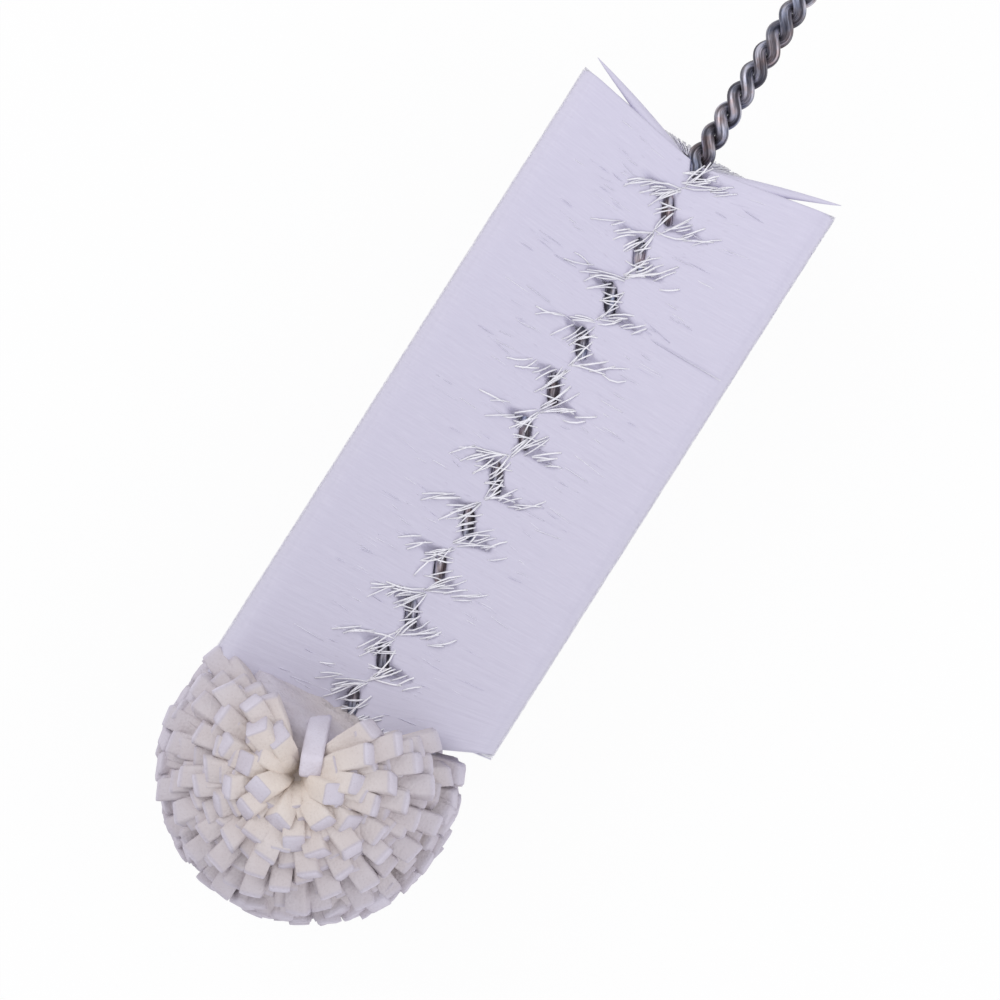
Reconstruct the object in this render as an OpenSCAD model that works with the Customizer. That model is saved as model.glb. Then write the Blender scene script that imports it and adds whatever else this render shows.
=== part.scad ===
// Bottle brush with a foam tip: bristles and foam strips gripped in one folded and twisted wire
// It lies along X with its loop at +X, on the plane z = 0, and the origin is below its middle
// Sizes are in millimetres and angles in degrees

/* [Wire] */
// Diameter of the wire
wire_d = 2.7; // [2:0.1:3]
// Length of a full turn of the two legs where they grip the bristles and the foam
grip_pitch = 21.6; // [18:0.1:30]
// Length of a full turn of the two legs in the bare stem, before rounding to half turns
stem_pitch = 9.9; // [9.8:0.1:14]
// Room between the two legs where they grip the bristles and the foam
grip_gap = 0.7; // [0.6:0.1:1]
// Length of the bare stem, from the last bristles to the loop
stem_l = 155; // [80:1:240]
// Radius of the hanging loop, to the middle of the wire
loop_r = 11.5; // [9:0.5:18]
// Radius of the two bends that open the legs into the loop
neck_r = 8; // [5:0.5:12]

/* [Bristles] */
// Diameter across the trimmed tips
bristle_d = 60; // [50:1:76]
// Length of wire that grips bristles
bristle_l = 132.8; // [80:0.1:180]
// Angle that one fan of bristles spreads over, near the wire
fan_angle = 120; // [100:1:136]
// Depth of the ridges that the layers of bristles leave around the brush
ridge_h = 0.8; // [0.2:0.1:1.4]
// Lean of the last bristles towards the stem
stem_end_lean = 8; // [0:1:14]
// Lean of the first bristles away from the foam
foam_end_lean = 16; // [10:1:20]
// Depth of the flat that the bristles press out where the brush lies
rest_flat = 0.3; // [0.1:0.1:0.8]
// Angle from upright down to the bristles on each side of the parting along the top
parting = 74; // [45:1:76]

/* [Foam strips] */
// Diameter of the ball that the strips make
ball_d = 62.6; // [58:0.2:70]
// Length of wire that grips foam
foam_l = 24.2; // [20:0.1:26]
// Width of a square strip
strip_w = 4.4; // [3.4:0.1:5]
// Number of strip ends around the ball
strip_ends = 150; // [90:1:160]
// Angle from the tip that the last strips reach back to
strip_fan = 121; // [100:1:122]

/* [Hidden] */

// Places along the axis, measured from the tip of the foam
ball_s = ball_d / 2;
wire_tip_s = ball_s - 0.44 * foam_l;
bristle_s = wire_tip_s + foam_l;
grip_end_s = bristle_s + bristle_l;
neck_s = grip_end_s + stem_l;

// The two legs: how far each runs from the axis, and the room left between them in the stem
leg_clear = 0.06;
grip_leg_r = (wire_d + grip_gap) / 2;
stem_leg_r = (wire_d + leg_clear) / 2;
closing_l = 2.5;

// The loop: its bends open by neck_turn and then an arc closes it
neck_turn = acos((stem_leg_r + neck_r) / (neck_r + loop_r));
loop_s = neck_s + (neck_r + loop_r) * sin(neck_turn);
overall_l = loop_s + loop_r + wire_d / 2;

// The twist eases off over the last part of the stem, and the loop lies level
ease_l = stem_pitch;
stem_run = stem_l - ease_l / 2;
stem_turn = 90 + 180 * round((360 * stem_run / stem_pitch - 90) / 180);
stem_rate = stem_turn / stem_run;
grip_rate = 360 / grip_pitch;

// Height of the axis above the plane on which the brush lies
axis_z = bristle_d / 2 - rest_flat;

// Sides of the wire, and rings along it for each part of its route
wire_sides = 8;
grip_rings = ceil(12 * (foam_l + bristle_l) / grip_pitch);
stem_rings = ceil(10 * stem_l / stem_pitch);
neck_rings = 5;
loop_rings = 12;

// The sheet of bristles or foam between the legs, and where it starts to fan out
sheet_t = 0.14 * grip_gap;
sheet_r = 0.8 * wire_d;

// Points along the outer edge of a fan, and layers of bristles along the wire
fan_points = 11;
layers = 2 * round(14 * bristle_l / grip_pitch);

// Further out the bristles close the slots that the fans leave beside the legs
closing_r = 0.2 * bristle_d;
closed_angle = 172;

// The parting along the top: the bristles lie to both sides and its bottom is just above the legs
parting_z = axis_z + grip_leg_r + wire_d / 2 + 0.4;
parting_h = bristle_d;

// The foam squeezed around the legs, where the strips are rooted
bore_r = grip_leg_r + wire_d / 2 + 0.06;
squeeze_r = bore_r + 2.2;
squeeze_cap = 2.4;
end_clear = 0.8;
root_w = 0.8;
root_r = bore_r + 1;
root_half_l = ball_s - wire_tip_s + 1.6;
strip_shoulder = 0.74;
golden_angle = 137.508;

function flat_from(s, y, z) = [s - overall_l / 2, y, max(0, axis_z + z)];
function smooth(t) = let (u = min(1, max(0, t))) u * u * (3 - 2 * u);

// Angle of the first leg around the axis, left-handed all the way from the tip to the loop
function stem_angle(q) = q < ease_l ? stem_rate * q * q / (2 * ease_l) : stem_rate * (q - ease_l / 2);
function leg_angle(s) = s > grip_end_s
    ? stem_angle(neck_s - s)
    : stem_turn + grip_rate * (grip_end_s - s);
function leg_r(s) = grip_leg_r + (stem_leg_r - grip_leg_r) * smooth((s - grip_end_s) / closing_l);
function leg_point(s) = [s, leg_r(s) * cos(leg_angle(s)), leg_r(s) * sin(leg_angle(s))];

// Half of the wire's route, from its end in the foam to the far side of the loop
half_route = concat(
    [for (i = [0:grip_rings]) leg_point(wire_tip_s + (grip_end_s - wire_tip_s) * i / grip_rings)],
    [for (i = [1:stem_rings]) leg_point(grip_end_s + stem_l * i / stem_rings)],
    [for (i = [1:neck_rings]) let (a = neck_turn * i / neck_rings)
        [neck_s + neck_r * sin(a), stem_leg_r + neck_r * (1 - cos(a)), 0]],
    [for (i = [1:loop_rings]) let (a = (90 + neck_turn) * (1 - i / loop_rings))
        [loop_s + loop_r * cos(a), loop_r * sin(a), 0]]);
last = len(half_route) - 1;
route = concat(half_route, [for (i = [last - 1:-1:0]) let (p = half_route[i]) [p.x, -p.y, -p.z]]);

function unit(v) = v / norm(v);
function heading(i) = unit(route[min(i + 1, len(route) - 1)] - route[max(i - 1, 0)]);
function wire_ring(i) =
    let (t = heading(i), u = unit(cross([0, 0, 1], t)), v = cross(t, u), p = route[i])
    [for (j = [0:wire_sides - 1]) let (a = 360 * (j + 0.5) / wire_sides)
        let (q = p + wire_d / 2 * (cos(a) * u + sin(a) * v)) flat_from(q.x, q.y, q.z)];

// Faces between rings of n points, seen clockwise from outside
function skin(rings, n) = [for (i = [0:rings - 2], j = [0:n - 1])
    let (a = i * n + j, b = i * n + (j + 1) % n)
    each [[a, b + n, b], [a, a + n, b + n]]];

// One wire, folded at the loop, with its two legs twisted together
module twisted_wire() {
    rings = len(route);
    first_end = [for (j = [0:wire_sides - 1]) j];
    other_end = [for (j = [wire_sides - 1:-1:0]) (rings - 1) * wire_sides + j];
    color("dimgray")
    polyhedron(
        points = [for (i = [0:rings - 1]) each wire_ring(i)],
        faces = concat(skin(rings, wire_sides), [first_end, other_end]),
        convexity = 20);
}

// A point of the filling at p in the section across the axis, turned with the legs and leaning
function filling_point(s, p, lean) =
    let (a = leg_angle(s) + 90)
    flat_from(s + tan(lean) * norm(p), p.x * cos(a) - p.y * sin(a), p.x * sin(a) + p.y * cos(a));

// Section of one fan: out along one side, round the trimmed tips and back along the other
function bend(side) = closing_r * [cos(fan_angle / 2), side * sin(fan_angle / 2)];
function fan(r, half) = concat(
    [[sheet_r, -sheet_t / 2], bend(-1)],
    [for (j = [0:fan_points - 1]) let (a = half * (2 * j / (fan_points - 1) - 1)) [r * cos(a), r * sin(a)]],
    [bend(1), [sheet_r, sheet_t / 2]]);
function both_fans(r, half) = let (f = fan(r, half)) concat(f, [for (p = f) -p]);

// Bristles gripped across the middle, so that they fan out on both sides of the legs
module fans() {
    n = 2 * (fan_points + 4);
    points = [for (i = [0:layers]) let (
            t = i / layers,
            s = bristle_s + bristle_l * t,
            lean = foam_end_lean * pow(1 - t, 6) + stem_end_lean * pow(t, 6),
            section = both_fans(bristle_d / 2 - ridge_h * (i % 2), closed_angle / 2 - 2 * (i % 2)))
        each [for (p = section) filling_point(s, p, lean)]];
    m = n / 2;
    mid = 2 + (fan_points - 1) / 2;
    cap = concat(
        [for (k = [0, m], j = [0:m - 1]) if (j != mid && (j + 1) % m != mid) [k + mid, k + j, k + (j + 1) % m]],
        [[0, m - 1, m], [0, m, n - 1]]);
    top = layers * n;
    polyhedron(
        points = points,
        faces = concat(skin(layers + 1, n), cap, [for (f = cap) [top + f[0], top + f[2], top + f[1]]]),
        convexity = 30);
}

// The fans, laid to both sides along the top
module bristles() {
    color("lavender")
    difference() {
        fans();
        translate([-overall_l, 0, parting_z]) rotate([90, 0, 90]) linear_extrude(2 * overall_l)
            polygon([[0, 0], [parting_h * tan(parting), parting_h], [-parting_h * tan(parting), parting_h]]);
    }
}

// One square strip end, thin where it is squeezed at its root, and cut short where it meets the plane
module strip(k) {
    from_tip = acos(1 - (1 - cos(strip_fan)) * (k + 0.5) / strip_ends);
    around = golden_angle * k;
    u = [-cos(from_tip), sin(from_tip) * cos(around), sin(from_tip) * sin(around)];
    down = max(0.01, -u.z);
    reach = min(ball_d / 2, (axis_z - strip_w * sqrt(0.5) * sqrt(1 - u.z * u.z)) / down);
    tip = [ball_s, 0, 0] + reach * u;
    root_out = root_r * min(1, sin(from_tip) / sin(25));
    root = [ball_s - root_half_l * cos(from_tip), root_out * cos(around), root_out * sin(around)];
    run = tip - root;
    l = norm(run);
    translate([root.x - overall_l / 2, root.y, root.z + axis_z])
    rotate([0, -asin(run.z / l), atan2(run.y, run.x)])
    rotate([12 * sin(golden_angle * k / 3), 0, 0])
    hull() {
        translate([0, -root_w / 2, -root_w / 2]) cube([0.2, root_w, root_w]);
        translate([l * strip_shoulder, -strip_w / 2, -strip_w / 2])
            cube([l * (1 - strip_shoulder), strip_w, strip_w]);
    }
}

// Foam strips gripped across the middle, so that their ends stand out in a ball around the tip
module foam_strips() {
    end_s = bristle_s - 0.4;
    color("linen") {
        for (k = [0:strip_ends - 1]) strip(k);
        translate([-overall_l / 2, 0, axis_z]) rotate([0, 90, 0])
        difference() {
            translate([0, 0, wire_tip_s - squeeze_cap])
                cylinder(h = end_s - wire_tip_s + squeeze_cap, r = squeeze_r, $fn = 24);
            translate([0, 0, wire_tip_s - end_clear])
                cylinder(h = foam_l + 1, r = bore_r / cos(180 / 24), $fn = 24);
        }
    }
}

twisted_wire();
bristles();
foam_strips();
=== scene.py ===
"""Bottle brush with a foam tip: wire, bristles and foam strips, with the camera, the floor and the light."""

import math

import bpy
import numpy as np
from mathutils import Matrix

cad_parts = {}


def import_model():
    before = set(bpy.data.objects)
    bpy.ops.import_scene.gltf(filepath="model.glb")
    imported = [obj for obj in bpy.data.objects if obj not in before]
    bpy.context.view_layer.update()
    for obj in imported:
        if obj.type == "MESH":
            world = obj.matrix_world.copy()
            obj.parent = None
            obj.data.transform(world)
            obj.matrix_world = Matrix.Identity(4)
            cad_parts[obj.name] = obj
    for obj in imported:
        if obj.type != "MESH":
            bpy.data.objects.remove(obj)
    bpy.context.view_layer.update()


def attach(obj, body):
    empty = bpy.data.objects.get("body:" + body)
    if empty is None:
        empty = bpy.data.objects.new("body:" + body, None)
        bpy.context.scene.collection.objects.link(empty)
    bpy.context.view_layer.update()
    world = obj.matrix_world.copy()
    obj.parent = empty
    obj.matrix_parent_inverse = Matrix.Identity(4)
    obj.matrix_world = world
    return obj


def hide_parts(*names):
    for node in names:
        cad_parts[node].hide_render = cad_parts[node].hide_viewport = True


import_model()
SEED = 60
rng = np.random.default_rng(SEED)

# Metres in a millimetre
MM = 0.001

# The part's own sizes in millimetres and angles in degrees, as in its source
WIRE_D = 2.7
GRIP_PITCH = 21.6
STEM_PITCH = 9.9
GRIP_GAP = 0.7
STEM_L = 155.0
LOOP_R = 11.5
NECK_R = 8.0
BRISTLE_R = 30.0
BRISTLE_L = 132.8
REST_FLAT = 0.3
BALL_R = 31.3
FOAM_L = 24.2
STRIP_W = 4.4
LEG_CLEAR = 0.06
CLOSING_L = 2.5
GRIP_BEFORE_MIDDLE = 0.44
GOLDEN_ANGLE = 137.508

# Places along the axis, measured from the tip of the foam
WIRE_TIP_S = BALL_R - GRIP_BEFORE_MIDDLE * FOAM_L
BRISTLE_S = WIRE_TIP_S + FOAM_L
GRIP_END_S = BRISTLE_S + BRISTLE_L
NECK_S = GRIP_END_S + STEM_L
GRIP_LEG_R = (WIRE_D + GRIP_GAP) / 2
STEM_LEG_R = (WIRE_D + LEG_CLEAR) / 2
NECK_TURN = math.acos((STEM_LEG_R + NECK_R) / (NECK_R + LOOP_R))
LOOP_S = NECK_S + (NECK_R + LOOP_R) * math.sin(NECK_TURN)
OVERALL_L = LOOP_S + LOOP_R + WIRE_D / 2
EASE_L = STEM_PITCH
STEM_RUN = STEM_L - EASE_L / 2
STEM_TURN = 90 + 180 * round((360 * STEM_RUN / STEM_PITCH - 90) / 180)
STEM_RATE = STEM_TURN / STEM_RUN
AXIS_Z = BRISTLE_R - REST_FLAT
FOAM_TO_STEM_X = [(s - OVERALL_L / 2) * MM for s in (BRISTLE_S, GRIP_END_S)]

# The photograph's frame: its width, the axis's slant and the point of the brush in its middle
PHOTO_W = 204.1
AXIS_SLANT = 57.56
CENTRE_S = 98.75
CENTRE_Y = -2.9


def smooth(t):
    """Eases from 0 to 1."""
    u = np.clip(t, 0, 1)
    return u * u * (3 - 2 * u)


def unit(v):
    return v / np.linalg.norm(v, axis=-1, keepdims=True)


def world(p):
    """Points given as (along the axis, y, z) about the axis, as points of the frame in metres."""
    return (np.asarray(p) + np.array([-OVERALL_L / 2, 0, AXIS_Z])) * MM


def leg_angle(s):
    """Angle in degrees of the wire's first leg around the axis."""
    q = NECK_S - s
    in_stem = np.where(q < EASE_L, STEM_RATE * q * q / (2 * EASE_L), STEM_RATE * (q - EASE_L / 2))
    return np.where(s > GRIP_END_S, in_stem, STEM_TURN + 360 / GRIP_PITCH * (GRIP_END_S - s))


# Meshes

def mesh_piece(name, points, triangles, node, uv=None, shade=None):
    """A piece from arrays of points in metres and triangles, riding on the body and standing for a node."""
    mesh = bpy.data.meshes.new(name)
    mesh.vertices.add(len(points))
    mesh.vertices.foreach_set("co", np.ascontiguousarray(points, dtype=np.float32).ravel())
    corners = np.ascontiguousarray(triangles, dtype=np.int32).ravel()
    mesh.loops.add(len(corners))
    mesh.loops.foreach_set("vertex_index", corners)
    mesh.polygons.add(len(triangles))
    mesh.polygons.foreach_set("loop_start", np.arange(0, len(corners), 3, dtype=np.int32))
    mesh.polygons.foreach_set("use_smooth", np.ones(len(triangles), dtype=bool))
    if uv is not None:
        layer = mesh.uv_layers.new(name="along")
        layer.data.foreach_set("uv", np.ascontiguousarray(uv, dtype=np.float32).ravel())
    if shade is not None:
        values = mesh.attributes.new("shade", "FLOAT", "POINT")
        values.data.foreach_set("value", np.ascontiguousarray(shade, dtype=np.float32))
    mesh.update(calc_edges=True)
    mesh.validate()
    piece = bpy.data.objects.new(name, mesh)
    bpy.context.scene.collection.objects.link(piece)
    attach(piece, "root")
    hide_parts(node)
    return piece


def tube_triangles(rings, sides):
    """Triangles of one closed tube: its skin and a fan at each end."""
    i, j = np.meshgrid(np.arange(rings - 1), np.arange(sides), indexing="ij")
    a, b = i * sides + j, i * sides + (j + 1) % sides
    skin = np.stack([np.stack([a, b, b + sides], -1), np.stack([a, b + sides, a + sides], -1)], 2)
    fan = np.array([[0, k + 1, k] for k in range(1, sides - 1)])
    far = (rings - 1) * sides + fan[:, ::-1]
    return np.concatenate([skin.reshape(-1, 3), fan, far])


def circle(sides):
    """Angles in radians of points spread evenly around a circle."""
    return 2 * math.pi * np.arange(sides) / sides


# Materials: ramps are (place, colour) stops, scales are per metre unless said otherwise, and a bump is its
# strength and its height in millimetres

WHITE = (1, 1, 1)

# The range in which a noise mostly lies
NOISE_SPAN = (0.3, 0.7)

# Streaks for each girth of the wire, along it and around it
WIRE_STREAKS = (1.0, 8, 1)
# Tones of the streaks: drawn steel, with its light streaks as painted highlights
STEEL_AND_PAINTED_HIGHLIGHTS = ((0.4, (0.075, 0.07, 0.082)), (0.5, (0.21, 0.205, 0.23)), (0.61, (0.62, 0.61, 0.66)))
STAIN_SCALE = 260
TARNISH = ((0.34, (0.6, 0.67, 0.83)), (0.5, (0.93, 0.92, 0.97)), (0.68, (0.88, 0.69, 0.63)))
TARNISH_SHARE = 0.95
WIRE_METALLIC = 0.8
WIRE_ROUGHNESS = (0.62, 0.42)
WIRE_BUMP = (0.5, 0.08)

# Nylon tones: the lightest stop is painted light, used for the bristle tips and the crossing bristles
NYLON_AND_PAINTED_LIGHT = ((0, (0.58, 0.56, 0.68)), (0.55, (0.66, 0.64, 0.765)), (1, (0.95, 0.945, 0.985)))
NYLON_CLOUD_SCALE = 70
NYLON_CLOUDS = ((0.35, (0.93, 0.93, 0.95)), (0.65, WHITE))
NYLON_GRAIN_SCALE = 2600
NYLON_ROUGHNESS = (0.34, 0.5)
NYLON_SPECULAR = 0.4

# Streaks and slits of the packed bristles for each millimetre, along the wire and outwards from it; the slits
# are painted shade of gaps between the bristles
PACKED_STREAKS = (3.0, 0.16, 1)
PACKED_NYLON = ((0.3, (0.63, 0.608, 0.735)), (0.55, (0.65, 0.628, 0.756)), (0.75, (0.675, 0.653, 0.778)))
SLITS = (1.4, 0.42, 1)
SLIT_PAINTED_SHADE = ((0.66, WHITE), (0.8, (0.86, 0.85, 0.865)))
SLITS_FADE = (6, 16)
SLIT_SHARE = (0.9, 0.2)
TIP_SPACING = 0.4
# Cut tips: white, with painted shade in the gaps between them
TIP_GAP_PAINTED_SHADE = ((0.3, WHITE), (0.75, (0.8, 0.79, 0.8)))
TIPS_BEGIN = (3, 7)
# Painted shade: the packed bristles are darker towards the foam end
PAINTED_SHADE_FOAM_TO_STEM = ((0, (0.89, 0.89, 0.88)), (1, (0.985, 0.985, 0.985)))
PACKED_ROUGHNESS = (0.62, 0.46)
PACKED_SPECULAR = 0.25
PACKED_BUMP = (0.2, 0.2)

# Tones of the foam from deep between the strips to their cut ends: the creamy deep tones are partly the
# foam's own tint and partly painted light against the shade between the strips, and the lighter cut ends are
# painted light
FOAM_AND_PAINTED_LIGHT = ((0.42, (0.9, 0.81, 0.7)), (0.56, (0.73, 0.668, 0.622)), (0.68, (0.63, 0.582, 0.588)),
        (0.78, (0.58, 0.543, 0.585)), (0.86, (0.575, 0.541, 0.602)), (0.92, (0.615, 0.584, 0.66)),
        (1, (0.71, 0.68, 0.765)))
FOAM_CLOUD_SCALE = 180
FOAM_CLOUDS = ((0.3, (0.94, 0.92, 0.91)), (0.7, WHITE))
CELL_SCALE = 1500
PORES = ((0, (0.9, 0.88, 0.87)), (0.35, WHITE))
PORE_SHARE = 0.8
FOAM_ROUGHNESS = 0.95
FOAM_SPECULAR = 0.12
FOAM_BUMP = (0.5, 0.25)


def new_material(name):
    material = bpy.data.materials.new(name)
    material.use_nodes = True
    nodes, links = material.node_tree.nodes, material.node_tree.links
    return material, nodes, links, nodes["Principled BSDF"]


def object_place(nodes):
    return nodes.new("ShaderNodeTexCoord").outputs["Object"]


def shade_value(nodes):
    """The value that each point of the mesh carries."""
    node = nodes.new("ShaderNodeAttribute")
    node.attribute_name = "shade"
    return node.outputs["Fac"]


def along_uv(nodes):
    """The unrolled place on the mesh."""
    node = nodes.new("ShaderNodeUVMap")
    node.uv_map = "along"
    return node.outputs["UV"]


def stretched(nodes, links, vector, scale):
    node = nodes.new("ShaderNodeMapping")
    node.inputs["Scale"].default_value = scale
    links.new(vector, node.inputs["Vector"])
    return node.outputs["Vector"]


def part_of(nodes, links, vector, axis):
    """One coordinate of a vector."""
    node = nodes.new("ShaderNodeSeparateXYZ")
    links.new(vector, node.inputs["Vector"])
    return node.outputs[axis]


def noise(nodes, links, vector, scale, detail=3.0, roughness=0.5):
    node = nodes.new("ShaderNodeTexNoise")
    node.inputs["Scale"].default_value = scale
    node.inputs["Detail"].default_value = detail
    node.inputs["Roughness"].default_value = roughness
    links.new(vector, node.inputs["Vector"])
    return node.outputs["Fac"]


def cells(nodes, links, vector, scale):
    """Distance from the middle of the nearest cell."""
    node = nodes.new("ShaderNodeTexVoronoi")
    node.inputs["Scale"].default_value = scale
    links.new(vector, node.inputs["Vector"])
    return node.outputs["Distance"]


def ramp(nodes, links, fac, stops):
    """A colour ramp from (place, colour) stops."""
    node = nodes.new("ShaderNodeValToRGB")
    elements = node.color_ramp.elements
    while len(elements) < len(stops):
        elements.new(0.5)
    for element, (place, colour) in zip(elements, stops):
        element.position = place
        element.color = (*colour, 1)
    links.new(fac, node.inputs["Fac"])
    return node.outputs["Color"]


def map_range(nodes, links, value, span, to_span):
    node = nodes.new("ShaderNodeMapRange")
    for key, number in zip(("From Min", "From Max", "To Min", "To Max"), (*span, *to_span)):
        node.inputs[key].default_value = number
    links.new(value, node.inputs["Value"])
    return node.outputs["Result"]


def mix(nodes, links, fac, a, b, blend="MIX"):
    """Two colours mixed, each an output of a node or a plain colour."""
    node = nodes.new("ShaderNodeMix")
    node.data_type = "RGBA"
    node.blend_type = blend
    for key, value in (("Factor", fac), ("A", a), ("B", b)):
        socket = [x for x in node.inputs if x.name == key and (key == "Factor" or x.type == "RGBA")][0]
        if hasattr(value, "is_output"):
            links.new(value, socket)
        else:
            socket.default_value = value if key == "Factor" else (*value, 1)
    return [x for x in node.outputs if x.type == "RGBA"][0]


def bump(nodes, links, height, strength, distance_mm, shader):
    node = nodes.new("ShaderNodeBump")
    node.inputs["Strength"].default_value = strength
    node.inputs["Distance"].default_value = distance_mm * MM
    links.new(height, node.inputs["Height"])
    links.new(node.outputs["Normal"], shader.inputs["Normal"])


def wire_material():
    """Dull drawn steel with streaks along the wire, whose light streaks are painted highlights, and brown and
    blue tarnish.
    """
    material, nodes, links, shader = new_material("drawn_wire")
    drawn_out = stretched(nodes, links, along_uv(nodes), WIRE_STREAKS)
    streaks = noise(nodes, links, drawn_out, 1.0, detail=4, roughness=0.55)
    # The light streaks here are painted highlights
    steel = ramp(nodes, links, streaks, STEEL_AND_PAINTED_HIGHLIGHTS)
    stains = noise(nodes, links, object_place(nodes), STAIN_SCALE, roughness=0.6)
    tarnish = ramp(nodes, links, stains, TARNISH)
    colour = mix(nodes, links, TARNISH_SHARE, steel, tarnish, "MULTIPLY")
    links.new(colour, shader.inputs["Base Color"])
    shader.inputs["Metallic"].default_value = WIRE_METALLIC
    links.new(map_range(nodes, links, streaks, NOISE_SPAN, WIRE_ROUGHNESS), shader.inputs["Roughness"])
    bump(nodes, links, streaks, *WIRE_BUMP, shader)
    return material


def bristle_material():
    """White nylon with a faint lavender cast, a little different from one filament to the next, with painted
    light that makes the tips and the crossing bristles lighter.
    """
    material, nodes, links, shader = new_material("nylon_bristle")
    tint = ramp(nodes, links, shade_value(nodes), NYLON_AND_PAINTED_LIGHT)
    where = object_place(nodes)
    clouds = ramp(nodes, links, noise(nodes, links, where, NYLON_CLOUD_SCALE, detail=2), NYLON_CLOUDS)
    links.new(mix(nodes, links, 1.0, tint, clouds, "MULTIPLY"), shader.inputs["Base Color"])
    grain = noise(nodes, links, where, NYLON_GRAIN_SCALE, detail=2)
    links.new(map_range(nodes, links, grain, NOISE_SPAN, NYLON_ROUGHNESS), shader.inputs["Roughness"])
    shader.inputs["Specular IOR Level"].default_value = NYLON_SPECULAR
    return material


def packed_material():
    """Packed nylon filaments: faint streaks outwards, slits near the wire as painted shade, cut tips around
    the outside with painted shade between them, and painted shade towards the foam end.
    """
    material, nodes, links, shader = new_material("nylon_packed")
    uv = along_uv(nodes)
    outwards = part_of(nodes, links, uv, "Y")
    streaks = noise(nodes, links, stretched(nodes, links, uv, PACKED_STREAKS), 1.0, roughness=0.55)
    tint = ramp(nodes, links, streaks, PACKED_NYLON)
    gaps = noise(nodes, links, stretched(nodes, links, uv, SLITS), 1.0, detail=1, roughness=0.4)
    near_wire = map_range(nodes, links, outwards, SLITS_FADE, SLIT_SHARE)
    # Painted shade of the slits near the wire
    slits = mix(nodes, links, near_wire, WHITE, ramp(nodes, links, gaps, SLIT_PAINTED_SHADE))
    # Cut tips with painted shade between them
    tips = ramp(nodes, links, cells(nodes, links, uv, 1 / TIP_SPACING), TIP_GAP_PAINTED_SHADE)
    outside = map_range(nodes, links, outwards, [PACKED_R + far for far in TIPS_BEGIN], (0, 1))
    marks = mix(nodes, links, outside, slits, tips)
    marked = mix(nodes, links, 1.0, tint, marks, "MULTIPLY")
    # Painted shade, darker towards the foam end
    x = part_of(nodes, links, object_place(nodes), "X")
    from_foam = map_range(nodes, links, x, FOAM_TO_STEM_X, (0, 1))
    painted_shade_near_foam = ramp(nodes, links, from_foam, PAINTED_SHADE_FOAM_TO_STEM)
    links.new(mix(nodes, links, 1.0, marked, painted_shade_near_foam, "MULTIPLY"), shader.inputs["Base Color"])
    links.new(map_range(nodes, links, streaks, NOISE_SPAN, PACKED_ROUGHNESS), shader.inputs["Roughness"])
    shader.inputs["Specular IOR Level"].default_value = PACKED_SPECULAR
    bump(nodes, links, mix(nodes, links, outside, streaks, tips), *PACKED_BUMP, shader)
    return material


def foam_material():
    """Pale foam with fine open cells, creamier and lighter towards the roots of the strips, partly its own
    tint and partly painted light, and with painted light on the cut ends.
    """
    material, nodes, links, shader = new_material("strip_foam")
    where = object_place(nodes)
    depth = ramp(nodes, links, shade_value(nodes), FOAM_AND_PAINTED_LIGHT)
    clouds = ramp(nodes, links, noise(nodes, links, where, FOAM_CLOUD_SCALE), FOAM_CLOUDS)
    tone = mix(nodes, links, 1.0, depth, clouds, "MULTIPLY")
    open_cells = cells(nodes, links, where, CELL_SCALE)
    pores = ramp(nodes, links, open_cells, PORES)
    links.new(mix(nodes, links, PORE_SHARE, tone, pores, "MULTIPLY"), shader.inputs["Base Color"])
    shader.inputs["Roughness"].default_value = FOAM_ROUGHNESS
    shader.inputs["Specular IOR Level"].default_value = FOAM_SPECULAR
    bump(nodes, links, open_cells, *FOAM_BUMP, shader)
    return material


# Wire

WIRE_SIDES = 16
GRIP_RINGS = 220
STEM_RINGS = 400
NECK_RINGS = 14
LOOP_RINGS = 40


def leg_points(s):
    r = GRIP_LEG_R + (STEM_LEG_R - GRIP_LEG_R) * smooth((s - GRIP_END_S) / CLOSING_L)
    a = np.radians(leg_angle(s))
    return np.stack([s, r * np.cos(a), r * np.sin(a)], -1)


def wire_route():
    """Centre of the wire from one end in the foam, round the loop and back to the other end."""
    grip = leg_points(np.linspace(WIRE_TIP_S, GRIP_END_S, GRIP_RINGS))
    stem = leg_points(np.linspace(GRIP_END_S, NECK_S, STEM_RINGS)[1:])
    a = np.linspace(0, NECK_TURN, NECK_RINGS)[1:]
    neck = np.stack([NECK_S + NECK_R * np.sin(a), STEM_LEG_R + NECK_R * (1 - np.cos(a)), 0 * a], -1)
    a = np.linspace(math.pi / 2 + NECK_TURN, 0, LOOP_RINGS)[1:]
    loop = np.stack([LOOP_S + LOOP_R * np.cos(a), LOOP_R * np.sin(a), 0 * a], -1)
    half = np.concatenate([grip, stem, neck, loop])
    return np.concatenate([half, (half * [1, -1, -1])[-2::-1]])


def wire_uv(route, triangles):
    """Unrolled places on the wire, in girths along it and turns around it."""
    steps = np.linalg.norm(np.diff(route, axis=0), axis=1)
    along = np.concatenate([[0], np.cumsum(steps)]) / (math.pi * WIRE_D)
    turn = triangles % WIRE_SIDES
    wraps = (turn.max(1) - turn.min(1) > WIRE_SIDES / 2)[:, None] & (turn == 0)
    return np.stack([along[triangles // WIRE_SIDES], (turn + WIRE_SIDES * wraps) / WIRE_SIDES], -1)


def build_wire():
    route = wire_route()
    heading = unit(np.gradient(route, axis=0))
    u = unit(np.cross([0, 0, 1], heading))
    v = np.cross(heading, u)
    a = circle(WIRE_SIDES)
    ring = np.cos(a)[None, :, None] * u[:, None] + np.sin(a)[None, :, None] * v[:, None]
    points = world((route[:, None] + WIRE_D / 2 * ring).reshape(-1, 3))
    triangles = tube_triangles(len(route), WIRE_SIDES)
    uv = wire_uv(route, triangles)
    piece = mesh_piece("twisted_wire_drawn", points, triangles, "twisted_wire", uv=uv)
    piece.data.materials.append(wire_material())


# Single bristles, all the way from the wire to their trimmed tips

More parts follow.
